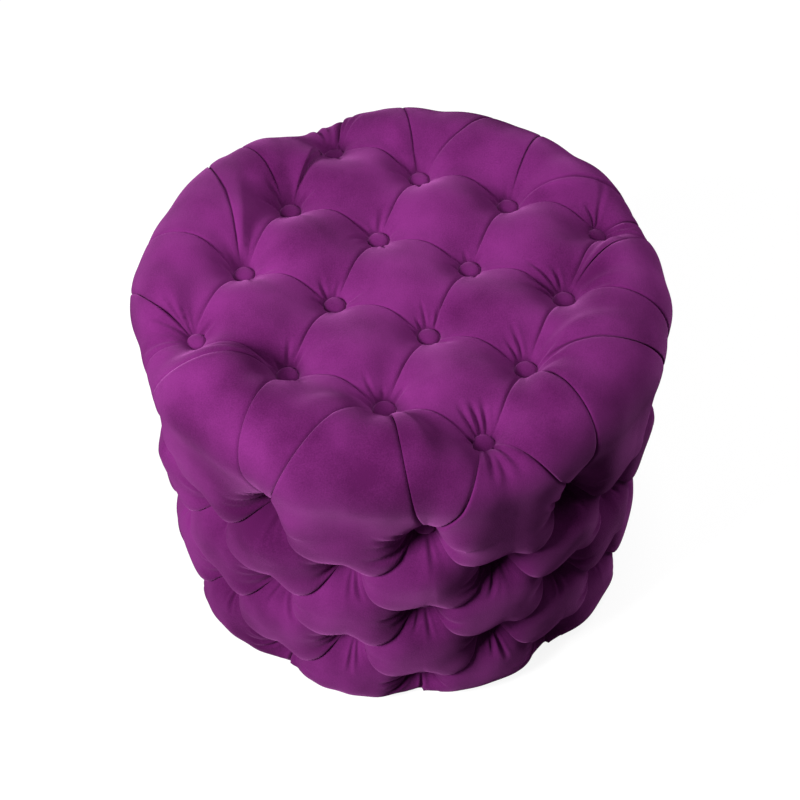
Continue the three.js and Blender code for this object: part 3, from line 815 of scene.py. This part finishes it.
add_bump(nodes, links, shader, pile, 0.0005, 0.8)


def new_cover(name, cells, cuts, node):
    """Cuts a cover from the cloth, draws it down, and thickens it inwards."""
    mesh = lay_out(name, cells, cuts)
    draw_down(mesh, tufted)
    cover = new_piece(name, mesh, velvet)
    thickness = cover.modifiers.new("thickness", "SOLIDIFY")
    thickness.thickness = cover_thickness
    thickness.offset = -1
    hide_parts(node)


half = column_count // 2
top_cuts = 63
side_cuts = 51
new_cover("top_velvet", square_cells + edge_cells + rim_cells, top_cuts, "top_cover")
new_cover("right_velvet", side_cells(0) + hem_cells(0), side_cuts, "side_cover_right")
new_cover("left_velvet", side_cells(half) + hem_cells(half), side_cuts, "side_cover_left")


# Buttons. Domed metal shells covered in the same velvet. Each is drawn down by a twine that runs in
# through the padding and the top board, or the skin. The profile is given as radius and height.
twine_radius = 0.0015
top_twine = 0.052
side_twine = 0.018
button_steps = 28
button_profile = [
    (0.0, 0.0076), (0.004, 0.0074), (0.0074, 0.0067), (0.0095, 0.0054), (0.0107, 0.0036), (0.0109, 0.0022),
    (0.0104, 0.0009), (0.009, 0.0004), (twine_radius, 0.0004),
]


def add_button(piece, place, twine):
    """Spins a button and its twine, and stands them at a place."""
    point, out, _ = (rows[0] for rows in seat_at(*reach_and_turn(np.array([place[:2]]))))
    turn = math.atan2(place[0], -place[1])
    side = Vector((math.cos(turn), math.sin(turn), 0))
    out = Vector(out)
    stand = Matrix((side, out.cross(side), out)).transposed().to_4x4()
    stand.translation = Vector(point)
    outline = button_profile + [(twine_radius, -twine), (0.0, -twine)]
    points = [piece.verts.new((radius, 0, height)) for radius, height in outline]
    lines = [piece.edges.new(pair) for pair in zip(points, points[1:])]
    bmesh.ops.spin(
        piece, geom=points + lines, cent=(0, 0, 0), axis=(0, 0, 1), angle=2 * math.pi, steps=button_steps,
        use_merge=True,
    )
    spun = [vertex for vertex in piece.verts if not vertex.tag]
    bmesh.ops.remove_doubles(piece, verts=spun, dist=0.00001)
    spun = [vertex for vertex in piece.verts if not vertex.tag]
    bmesh.ops.transform(piece, matrix=stand, verts=spun)
    for vertex in spun:
        vertex.tag = True


def finish_buttons(name, piece, node):
    """Covers spun buttons in the velvet and makes them one piece of the stool."""
    bmesh.ops.recalc_face_normals(piece, faces=piece.faces[:])
    mesh = bpy.data.meshes.new(name)
    piece.to_mesh(mesh)
    piece.free()
    buttons = new_piece(name, mesh, velvet)
    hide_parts(node)


for number, place in enumerate(top_buttons, 1):
    piece = bmesh.new()
    add_button(piece, place, top_twine)
    finish_buttons(f"covered_button_{number}", piece, f"top_button_{number}")

for row in range(row_count):
    piece = bmesh.new()
    for column in range(column_count):
        add_button(piece, side_place(row, column), side_twine)
    finish_buttons(f"covered_buttons_side_{row + 1}", piece, f"side_buttons_row_{row + 1}")


# Floor. A plain pale sheet that runs on as far as the camera sees. It glows for the camera alone, so that
# it looks almost white and still takes the stool's shadow.
floor_size = 60
floor_glow = 0.89
floor_mesh = bpy.data.meshes.new("floor")
sheet = bmesh.new()
bmesh.ops.create_grid(sheet, x_segments=1, y_segments=1, size=floor_size)
sheet.to_mesh(floor_mesh)
sheet.free()
floor = bpy.data.objects.new("floor", floor_mesh)
bpy.context.scene.collection.objects.link(floor)
paper, nodes, links, shader = new_material("pale_floor", 0.9)
shader.inputs["Base Color"].default_value = (0.18, 0.18, 0.18, 1)
shader.inputs["Specular IOR Level"].default_value = 0.1
shader.inputs["Emission Color"].default_value = (1, 1, 1, 1)
rays = nodes.new("ShaderNodeLightPath")
seen = nodes.new("ShaderNodeMath")
seen.operation = "MULTIPLY"
seen.inputs[1].default_value = floor_glow
links.new(rays.outputs["Is Camera Ray"], seen.inputs[0])
links.new(seen.outputs["Value"], shader.inputs["Emission Strength"])
floor_mesh.materials.append(paper)


# Light. One soft window-like lamp high on the left, a weaker one overhead, a dim one behind, and a room
# that is white to the camera and dim to the stool.
def add_lamp(name, place, aim, size, power):
    """A square lamp of some size and power, turned to what it aims at."""
    lamp_data = bpy.data.lights.new(name, "AREA")
    lamp_data.size = size
    lamp_data.energy = power
    lamp = bpy.data.objects.new(name, lamp_data)
    lamp.location = place
    lamp.rotation_euler = (Vector(aim) - Vector(place)).to_track_quat("-Z", "Y").to_euler()
    bpy.context.scene.collection.objects.link(lamp)


add_lamp("window", (-0.85, -1.6, 1.4), (0, 0, 0.25), 0.7, 72)
add_lamp("ceiling", (0.35, 0.2, 2.3), (0, 0, 0.3), 0.9, 24)
add_lamp("far_window", (1.5, 1.9, 1.0), (0, 0, 0.25), 1.2, 16)
room_light = 0.045
world = bpy.data.worlds.new("room")
world.use_nodes = True
bpy.context.scene.world = world
room = world.node_tree.nodes["Background"]
room.inputs["Color"].default_value = (1, 1, 1, 1)
rays = world.node_tree.nodes.new("ShaderNodeLightPath")
shown = world.node_tree.nodes.new("ShaderNodeMapRange")
shown.inputs["To Min"].default_value = room_light
world.node_tree.links.new(rays.outputs["Is Camera Ray"], shown.inputs["Value"])
world.node_tree.links.new(shown.outputs["Result"], room.inputs["Strength"])
bpy.context.scene.view_settings.view_transform = "Standard"
